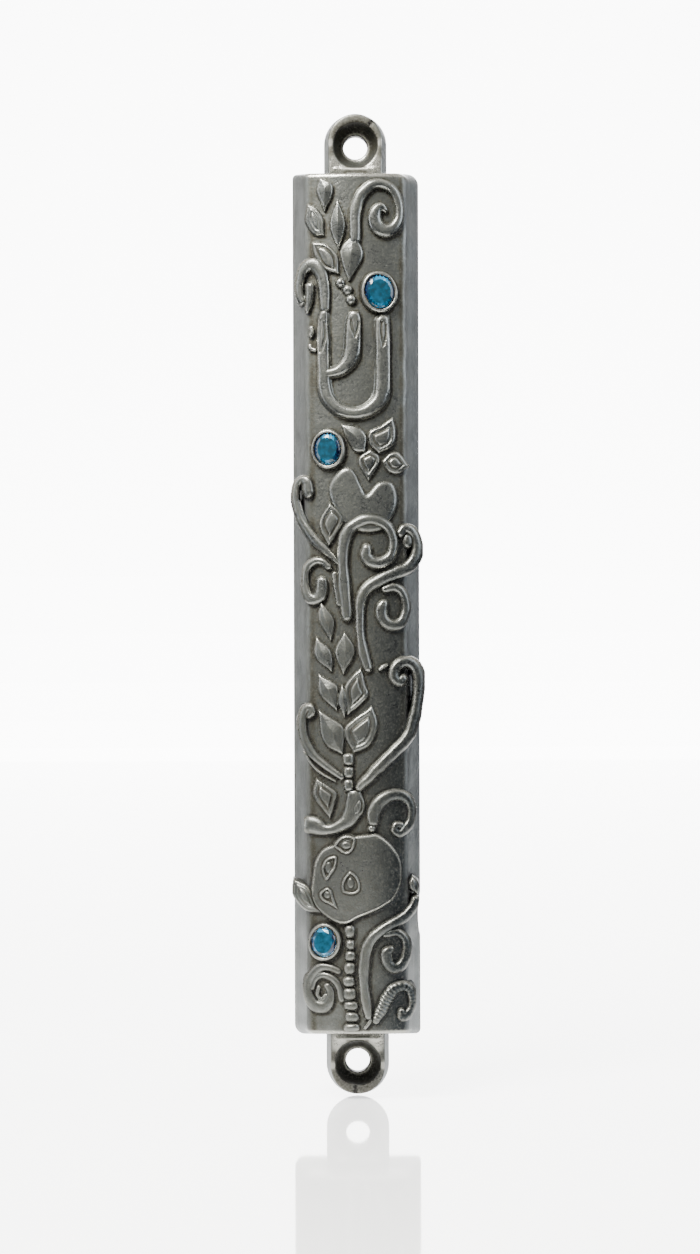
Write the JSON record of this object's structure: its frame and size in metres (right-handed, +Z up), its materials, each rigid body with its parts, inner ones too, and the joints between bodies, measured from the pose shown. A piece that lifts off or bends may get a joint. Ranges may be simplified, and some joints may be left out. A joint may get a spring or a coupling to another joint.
{
  "type": "mezuzah case",
  "caption": "Slim upright cast case for a rolled parchment, with a screw lug at each end, relief vines and fruit, set blue stones and a push-in back cover.",
  "frame": {"origin": "in the plane of the case's rim, where it meets the wall, midway between the two screw holes", "axes": "+Z up along the case, +Y into the wall, +X to the right of someone facing the case"},
  "size_m": [0.0207, 0.0127, 0.152],
  "materials": {
    "pewter": "antiqued cast pewter, dark in the hollows and rubbed bright on the edges",
    "stone": "faceted blue glass",
    "foil": "bright foil",
    "glue": "set clear glue",
    "cover": "fine grained black moulding",
    "parchment": "matt parchment",
    "film": "clear film"
  },
  "bodies": {
    "case": {"bezel_bottom": "pewter", "bezel_middle": "pewter", "bezel_top": "pewter", "case_shell": "pewter", "foil_bottom": "foil", "foil_middle": "foil", "foil_top": "foil", "glue_bottom": "glue", "glue_middle": "glue", "glue_top": "glue", "lug_bottom": "pewter", "lug_top": "pewter", "relief_bead_column": "pewter", "relief_bead_trio": "pewter", "relief_bottom_scroll": "pewter", "relief_branch": "pewter", "relief_branch_leaves": "pewter", "relief_calyx_bead": "pewter", "relief_calyx_scroll": "pewter", "relief_central_spiral": "pewter", "relief_flower_leaves": "pewter", "relief_fruit_seeds": "pewter", "relief_heart": "pewter", "relief_heart_leaf": "pewter", "relief_left_hook": "pewter", "relief_left_scroll": "pewter", "relief_left_vine": "pewter", "relief_lower_spiral": "pewter", "relief_lower_vine": "pewter", "relief_pomegranate": "pewter", "relief_ribbed_scroll": "pewter", "relief_right_hook": "pewter", "relief_right_spiral": "pewter", "relief_right_vine": "pewter", "relief_shin": "pewter", "relief_side_leaf": "pewter", "relief_small_spiral": "pewter", "relief_sprig_leaves": "pewter", "relief_stem_barrels": "pewter", "relief_top_leaves": "pewter", "relief_top_scroll": "pewter", "relief_vine_bud": "pewter", "relief_vine_curl_bud": "pewter", "stone_bottom": "stone", "stone_middle": "stone", "stone_top": "stone"},
    "cover": {"back_cover": "cover"},
    "scroll": {"parchment_scroll": "parchment", "scroll_sleeve": "film"}
  },
  "joints": [
    {"name": "cover_lift", "type": "slide", "parent": "case", "child": "cover", "axis": [0, 1, 0], "range_m": [0, 0.03]},
    {"name": "scroll_lift", "type": "slide", "parent": "case", "child": "scroll", "axis": [0, 1, 0], "range_m": [0, 0.015]}
  ],
  "couplings": [
    {"joint": "scroll_lift", "follows": "cover_lift", "ratio": 0.5}
  ]
}
